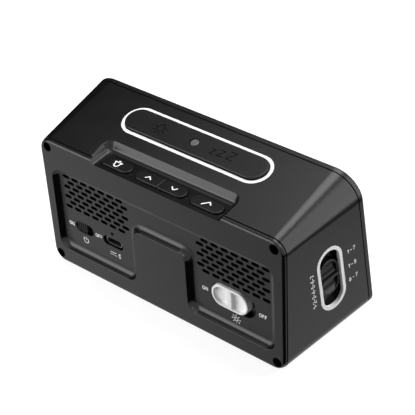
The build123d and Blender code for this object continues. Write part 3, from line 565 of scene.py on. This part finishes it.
@dataclass
class RearMarks:
    """Marks printed on the sunk panel, in millimetres from the middle of the rear rim."""

    case: CaseShape
    letter: float = 1.5
    letter_gap: float = 0.36
    line_width: float = 0.33
    thickness: float = 0.02
    power_x: float = 45.5
    power_on_x: float = 53.4
    power_off_x: float = 37.2
    inlet_x: float = 28.0
    light_x: float = 37.6
    light_on_x: float = 21.9
    light_off_x: float = 51.4
    words_up: float = 20.95
    signs_up: float = 15.3
    sun_up: float = 13.0
    sun_radius: float = 0.85
    sun_rays: tuple[float, float] = (1.6, 2.2)
    sun_ray_step: int = 45
    power_radius: float = 1.35
    inlet_letter: float = 1.9
    inlet_letter_shift: float = 2.2
    current_line: tuple[float, float] = (-3.0, 0.4)
    current_dashes: tuple[float, float, float] = (-3.0, -1.7, -0.4)
    current_dash: float = 0.8
    current_half_gap: float = 0.55

    def build(self, ink: Material) -> None:
        """Builds ON and OFF beside both sliders and a plain sign under each control.

        Args:
            ink: The print's finish.
        """
        face = self.case.panel()
        mark = Mark("power_marks", face, self.line_width, self.thickness)
        mark.text("ON", self.letter, -self.power_on_x, self.words_up, self.letter_gap)
        mark.text("OFF", self.letter, -self.power_off_x, self.words_up, self.letter_gap)
        for path in (POWER_ARC, POWER_STEM):
            mark.ribbon(path, self.power_radius, -self.power_x, self.signs_up)
        mark.build(ink, "clock_body")
        mark = Mark("inlet_mark", face, self.line_width, self.thickness)
        start, end = self.current_line
        high = self.current_half_gap
        mark.ribbon(line((start, high), (end, high)), 1.0, -self.inlet_x, self.signs_up)
        for start in self.current_dashes:
            dash = line((start, -high), (start + self.current_dash, -high))
            mark.ribbon(dash, 1.0, -self.inlet_x, self.signs_up)
        mark.text("5", self.inlet_letter, -self.inlet_x + self.inlet_letter_shift, self.signs_up)
        mark.build(ink, "clock_body")
        mark = Mark("light_marks", face, self.line_width, self.thickness)
        mark.text("ON", self.letter, self.light_on_x, self.words_up, self.letter_gap)
        mark.text("OFF", self.letter, self.light_off_x, self.words_up, self.letter_gap)
        self.sun(mark)
        mark.build(ink, "clock_body")

    def sun(self, mark: Mark) -> None:
        """Adds a small sun: a ring with eight rays.

        Args:
            mark: The mark to add to.
        """
        ring = arc(0, 0, self.sun_radius, self.sun_radius, 0, 360)
        mark.ribbon(ring, 1.0, self.light_x, self.sun_up)
        start, end = self.sun_rays
        for turn in range(0, 360, self.sun_ray_step):
            mark.ribbon(line((start, 0), (end, 0)), 1.0, self.light_x, self.sun_up, turn)


@dataclass
class SideMarks:
    """Marks printed beside the day selector, in millimetres from its middle."""

    case: CaseShape
    letter: float = 1.7
    letter_gap: float = 0.62
    line_width: float = 0.36
    thickness: float = 0.02
    days_across: float = 11.6
    days_up: tuple[float, float, float] = (6.9, -0.4, -7.3)
    days: tuple[str, str, str] = ("1-7", "1-5", "6-7")
    column_across: float = -9.9
    column: str = "1-2-3-4-5-6-7"
    column_letter: float = 1.75
    column_gap: float = 0.32
    column_turn: float = 90

    def build(self, ink: Material) -> None:
        """Builds the three groups of days and the column of plain numbers.

        Args:
            ink: The print's finish.
        """
        face = self.case.side()
        mark = Mark("day_marks", face, self.line_width, self.thickness)
        for words, up in zip(self.days, self.days_up):
            mark.text(words, self.letter, self.days_across, up, self.letter_gap)
        mark.build(ink, "clock_body")
        mark = Mark("day_column", face, self.line_width, self.thickness)
        mark.text(self.column, self.column_letter, self.column_across, 0.0, self.column_gap,
                  self.column_turn)
        mark.build(ink, "clock_body")


@dataclass
class TopMarks:
    """Marks on the keys and on the snooze bar, in millimetres."""

    case: CaseShape
    key_y: float = 13.44
    key_z: float = 60.804
    key_pitch: float = 23.7
    pair_x: float = 6.6
    line_width: float = 0.5
    thickness: float = 0.02
    bar_y: float = -8.17
    bar_height: float = 1.3
    bell_up: float = 0.1
    sleep_x: float = -19.5
    sleep_letters: tuple[tuple[float, float, float], ...] = (
        (4.0, -1.0, -2.2), (3.2, 4.2, -1.2), (2.4, 8.4, -0.2))
    light_x: float = 18.0
    light_rays: tuple[float, float] = (2.6, 3.3)
    light_rays_up: float = 0.35
    light_ray_turns: range = range(-10, 200, 40)

    def build(self, ink: Material, sign_shade: Material) -> None:
        """Builds the signs on the four keys and on the bar.

        Args:
            ink: The print's finish.
            sign_shade: The finish of painted shade that stands in for the dark inside the engraved
                signs' grooves.
        """
        face = self.case.level(self.key_y, self.key_z)
        mark = Mark("alarm_mark", face, self.line_width, self.thickness)
        for path in (BELL, BELL_CLAPPER):
            mark.ribbon(path, 1.0, self.key_pitch, self.bell_up)
        mark.build(ink, "alarm_key")
        for name, x, turn in (("up", -self.pair_x, 0.0), ("down", self.pair_x, 180.0)):
            mark = Mark(name + "_mark", face, self.line_width, self.thickness)
            mark.ribbon(CHEVRON, 1.0, x, 0.0, turn)
            mark.build(ink, name + "_key")
        mark = Mark("set_mark", face, self.line_width, self.thickness)
        mark.ribbon(CHECK, 1.0, -self.key_pitch, 0.0)
        mark.build(ink, "set_key")
        # The bar's engraved signs wear painted shade in place of the shade inside real grooves.
        face = self.case.top(self.bar_y, self.bar_height)
        mark = Mark("sleep_sign", face, self.line_width, self.thickness)
        for size, across, upward in self.sleep_letters:
            mark.ribbon(LETTER_Z, size, self.sleep_x + across, upward)
        mark.build(sign_shade, "snooze_bar", "sign_black")
        mark = Mark("light_sign", face, self.line_width, self.thickness)
        for path in (BULB, BULB_NECK):
            mark.ribbon(path, 1.0, self.light_x, 0.0)
        start, end = self.light_rays
        for turn in self.light_ray_turns:
            mark.ribbon(line((start, 0), (end, 0)), 1.0, self.light_x, self.light_rays_up, turn)
        mark.build(sign_shade, "snooze_bar", "sign_black")


@dataclass
class DisplayFigures:
    """Figures of the display: slanted segments on the glass behind the smoked window."""

    case: CaseShape
    glass_height: float = -3.48
    slant: float = 6.0
    segment_width: float = 3.4
    gap: float = 0.5
    thickness: float = 0.02
    middle_up: float = 31.2
    digit_height: float = 27.0
    digit_width: float = 14.5
    pitch: float = 20.5
    digit_places: tuple[float, ...] = (-1.62, -0.62, 0.62, 1.62)
    dots_up: tuple[float, float] = (-5.5, 5.5)
    dot_radius: float = 1.6
    time: str = "1208"

    def segment(self, name: str) -> np.ndarray:
        """Returns the six corners of a segment of a figure, before its slant.

        A segment runs between two knots of the figure, drawn in by the gap, with its ends cut to
        a point.

        Args:
            name: One of a to g.

        Returns:
            Six points, in millimetres, round the segment.
        """
        high, wide = self.digit_height / 2, self.digit_width / 2
        ends = {
            "a": (-wide, high, wide, high), "b": (wide, high, wide, 0),
            "c": (wide, 0, wide, -high), "d": (-wide, -high, wide, -high),
            "e": (-wide, 0, -wide, -high), "f": (-wide, high, -wide, 0),
            "g": (-wide, 0, wide, 0)}[name]
        start, end = np.array(ends[:2]), np.array(ends[2:])
        ahead = unit(end - start)
        side = np.array([-ahead[1], ahead[0]]) * self.segment_width / 2
        start, end = start + ahead * self.gap, end - ahead * self.gap
        cut = ahead * self.segment_width / 2
        left, right = start + cut, end - cut
        return np.array([start, left + side, right + side, end, right - side, left - side])

    def build(self, material: Material) -> None:
        """Builds the time and the two dots.

        Args:
            material: The lit figures' finish.
        """
        face = self.case.front(self.glass_height)
        places = np.array(self.digit_places) * self.pitch
        shapes = []
        for figure, x in zip(self.time, places):
            shapes += [self.segment(name) + np.array([x, 0.0]) for name in SEGMENTS[figure]]
        angle = np.radians(np.arange(0, 360, 60))
        dot = np.stack([np.cos(angle), np.sin(angle)], axis=1) * self.dot_radius
        shapes += [dot + np.array([0.0, up]) for up in self.dots_up]
        corners = np.array(shapes)
        corners[..., 0] += corners[..., 1] * math.tan(math.radians(self.slant))
        corners[..., 1] += self.middle_up
        height = np.full(corners.shape[:2], self.thickness)
        points = face.place(corners[..., 0], corners[..., 1], height).reshape(-1, 3)
        polygons = np.arange(len(points)).reshape(-1, 6)
        turned = corners[:, 1] - corners[:, 0], corners[:, 2] - corners[:, 1]
        clockwise = turned[0][:, 0] * turned[1][:, 1] - turned[0][:, 1] * turned[1][:, 0] < 0
        polygons[clockwise] = polygons[clockwise][:, ::-1]
        mesh = bpy.data.meshes.new("time_figures")
        mesh.from_pydata(points.tolist(), [], polygons.tolist())
        mesh.materials.append(material)
        piece = bpy.data.objects.new("time_figures", mesh)
        bpy.context.scene.collection.objects.link(piece)
        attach(piece, "clock_body")
        log.info("time_figures ride on clock_body")


@dataclass(frozen=True)
class SoftBox:
    """A soft light that reflections pass by: its direction from the clock and its brightness."""

    name: str
    towards: tuple[float, float, float]
    distance: float
    size: tuple[float, float]
    radiance: float

    def build(self, target: np.ndarray) -> None:
        """Hangs the light so that it faces the clock.

        Its power is its radiance times its area times pi.

        Args:
            target: The point that it faces, in metres.
        """
        data = bpy.data.lights.new(self.name, "AREA")
        data.shape = "RECTANGLE"
        data.size, data.size_y = self.size
        data.energy = self.radiance * self.size[0] * self.size[1] * math.pi
        lamp = bpy.data.objects.new(self.name, data)
        lamp.visible_glossy = False
        back = unit(np.array(self.towards))
        lamp.matrix_world = aimed(target + back * self.distance, -back, np.array([0.0, 0.0, 1.0]))
        bpy.context.scene.collection.objects.link(lamp)


@dataclass(frozen=True)
class Card:
    """A curved card that only reflections see: a patch of a dome round the clock."""

    name: str
    azimuth: tuple[float, float]
    elevation: tuple[float, float]
    brightness: float
    distance: float = 0.9
    count: int = 25

    def build(self, target: np.ndarray) -> None:
        """Hangs the card.

        Its points are the target plus the distance times the direction, whose level part has the
        cosine of the elevation and turns with the azimuth from the x axis towards the y axis.

        Args:
            target: The middle of the dome, in metres.
        """
        turns = np.radians(np.linspace(*self.azimuth, self.count))
        rises = np.radians(np.linspace(*self.elevation, self.count))
        turn, rise = np.meshgrid(turns, rises, indexing="ij")
        level = np.cos(rise)
        ray = np.stack([level * np.cos(turn), level * np.sin(turn), np.sin(rise)], axis=-1)
        points = (target + ray * self.distance).reshape(-1, 3)
        mesh = bpy.data.meshes.new(self.name)
        mesh.from_pydata(points.tolist(), [], grid_quads(self.count, self.count).tolist())
        material = bpy.data.materials.new(self.name)
        graph = Graph(material)
        glow = graph.add("ShaderNodeEmission", Color=FULL_WHITE, Strength=self.brightness)
        out = graph.add("ShaderNodeOutputMaterial")
        graph.join(glow.outputs["Emission"], out.inputs["Surface"])
        mesh.materials.append(material)
        card = bpy.data.objects.new(self.name, mesh)
        card.visible_camera = False
        card.visible_shadow = False
        card.visible_diffuse = False
        card.visible_transmission = False
        bpy.context.scene.collection.objects.link(card)


def aimed(place: np.ndarray, forward: np.ndarray, upward: np.ndarray) -> Matrix:
    """Returns the placing of a lamp, card or camera that looks along a direction.

    Its own x axis is forward crossed with upward, its z axis points back, and y completes them.

    Args:
        place: Its place in metres.
        forward: Where it looks.
        upward: Which way is up in its view.

    Returns:
        A matrix of four by four.
    """
    back = -unit(forward)
    right = unit(np.cross(forward, upward))
    rows = np.eye(4)
    rows[:3, 0], rows[:3, 1], rows[:3, 2], rows[:3, 3] = right, np.cross(back, right), back, place
    return Matrix(rows.tolist())


@dataclass
class Studio:
    """White floor, white surroundings, cards for the reflections and soft lights."""

    target: tuple[float, float, float] = (0.0, 0.0, 0.03)
    room: float = 0.12
    floor_reach: float = 3.0
    floor_paint: float = 0.33
    floor_glow: float = 0.82
    cards: tuple[Card, ...] = (
        Card("card_above", (-60, 20), (-20, 47.5), 0.02),
        Card("card_behind", (20, 52), (42, 56), 0.05),
        Card("card_below", (84, 188), (-60, -8), 0.01),
        Card("card_bright_low", (36, 72), (-8, 8), 2.8),
        Card("card_bright", (36, 72), (8, 36), 5.0),
        Card("card_edge", (-105, -42), (57, 74), 5.6),
        Card("card_zenith", (0, 360), (74, 90), 4.0),
        Card("card_back", (145, 190), (42, 74), 4.5),
        Card("card_left", (190, 228), (-14, 60), 2.9),
        Card("card_gap", (188, 240), (-34, -18), 0.1),
        Card("card_side", (188, 250), (-75, -34), 0.86),
        Card("card_rear", (30, 50), (-60, -16), 0.95),
        Card("card_rear_right", (50, 76), (-60, -16), 0.66),
    )
    boxes: tuple[SoftBox, ...] = (
        SoftBox("key_light", (0.74, 0.60, 0.30), 0.9, (0.4, 0.4), 17.0),
        SoftBox("side_light", (-0.60, -0.62, 0.50), 0.9, (0.3, 0.3), 27.0),
        SoftBox("top_light", (0.35, -0.36, 0.865), 0.9, (0.5, 0.32), 12.5),
    )

    def build(self) -> None:
        """Builds the floor, the surroundings, the cards and the lights."""
        self.floor()
        self.surroundings()
        for piece in self.cards + self.boxes:
            piece.build(np.array(self.target))
            log.info("%s hangs", piece.name)

    def floor(self) -> None:
        """Builds a large floor that shows white to the camera and keeps a soft shadow.

        Reflections pass through it and see the white surroundings, as over a table of glass.
        """
        reach = self.floor_reach
        points = [(x * reach, y * reach, 0.0) for x, y in ((-1, -1), (1, -1), (1, 1), (-1, 1))]
        mesh = bpy.data.meshes.new("floor")
        mesh.from_pydata(points, [], [(0, 1, 2, 3)])
        material = bpy.data.materials.new("floor_white")
        graph = Graph(material)
        paint = graph.add("ShaderNodeBsdfDiffuse", Color=(*grey(self.floor_paint), 1.0))
        glow = graph.add("ShaderNodeEmission", Color=FULL_WHITE, Strength=self.floor_glow)
        both = graph.add("ShaderNodeAddShader")
        graph.join(paint.outputs["BSDF"], both.inputs[0])
        graph.join(glow.outputs["Emission"], both.inputs[1])
        self.by_ray(graph, paint.outputs["BSDF"], both.outputs["Shader"],
                    "ShaderNodeOutputMaterial")
        mesh.materials.append(material)
        floor = bpy.data.objects.new("floor", mesh)
        floor.visible_glossy = False
        bpy.context.scene.collection.objects.link(floor)

    def surroundings(self) -> None:
        """Makes the world white to the camera and in reflections, and a dim light otherwise."""
        world = bpy.data.worlds.new("studio_world")
        bpy.context.scene.world = world
        graph = Graph(world)
        plain = graph.add("ShaderNodeBackground", Color=FULL_WHITE, Strength=self.room)
        white = graph.add("ShaderNodeBackground", Color=FULL_WHITE, Strength=1.0)
        self.by_ray(graph, plain.outputs["Background"], white.outputs["Background"],
                    "ShaderNodeOutputWorld")

    @staticmethod
    def by_ray(graph: Graph, other: Socket, seen: Socket, output: str) -> None:
        """Shows one shader to camera, glossy and transmission rays and another to the rest.

        Args:
            graph: The nodes to add to.
            other: The shader for all other rays.
            seen: The shader for those three.
            output: The kind of output node.
        """
        ray = graph.add("ShaderNodeLightPath")
        either = graph.add("ShaderNodeMath", operation="MAXIMUM")
        graph.join(ray.outputs["Is Camera Ray"], either.inputs[0])
        graph.join(ray.outputs["Is Glossy Ray"], either.inputs[1])
        any_of_three = graph.add("ShaderNodeMath", operation="MAXIMUM")
        graph.join(either.outputs["Value"], any_of_three.inputs[0])
        graph.join(ray.outputs["Is Transmission Ray"], any_of_three.inputs[1])
        mix = graph.add("ShaderNodeMixShader")
        graph.join(any_of_three.outputs["Value"], mix.inputs["Fac"])
        graph.join(other, mix.inputs[1])
        graph.join(seen, mix.inputs[2])
        out = graph.add(output)
        graph.join(mix.outputs["Shader"], out.inputs["Surface"])


@dataclass(frozen=True)
class PhotoCamera:
    """The camera that was fitted to the photograph, in millimetres."""

    place: tuple[float, float, float] = (-321.82, 297.21, 394.28)
    forward: tuple[float, float, float] = (0.5617, -0.5343, -0.6317)
    upward: tuple[float, float, float] = (0.3377, -0.5490, 0.7646)
    lens: float = 120.796
    sensor: float = 36.0

    def build(self) -> None:
        """Sets up the camera."""
        data = bpy.data.cameras.new("photo_camera")
        data.lens, data.sensor_width = self.lens, self.sensor
        data.clip_start, data.clip_end = 0.01, 20.0
        camera = bpy.data.objects.new("photo_camera", data)
        camera.matrix_world = aimed(np.array(self.place) * MM, np.array(self.forward),
                                    np.array(self.upward))
        bpy.context.scene.collection.objects.link(camera)
        bpy.context.scene.camera = camera
        bpy.context.scene.view_settings.view_transform = "Standard"


def corners(box: tuple) -> list[list[float]]:
    """Returns a box as plain lists of numbers."""
    return [[float(value) for value in corner] for corner in box]


def main() -> None:
    """Builds everything in order."""
    logging.basicConfig(level=logging.INFO, format="%(name)s: %(message)s")
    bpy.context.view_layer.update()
    case = CaseShape()
    palette = Palette()
    palette.dress()
    ink, sign_shade = palette.ink.material(), palette.sign_shade.material()
    RearMarks(case).build(ink)
    SideMarks(case).build(ink)
    TopMarks(case).build(ink, sign_shade)
    DisplayFigures(case).build(palette.figures.material())
    Studio().build()
    PhotoCamera().build()


if __name__ == "__main__":
    main()
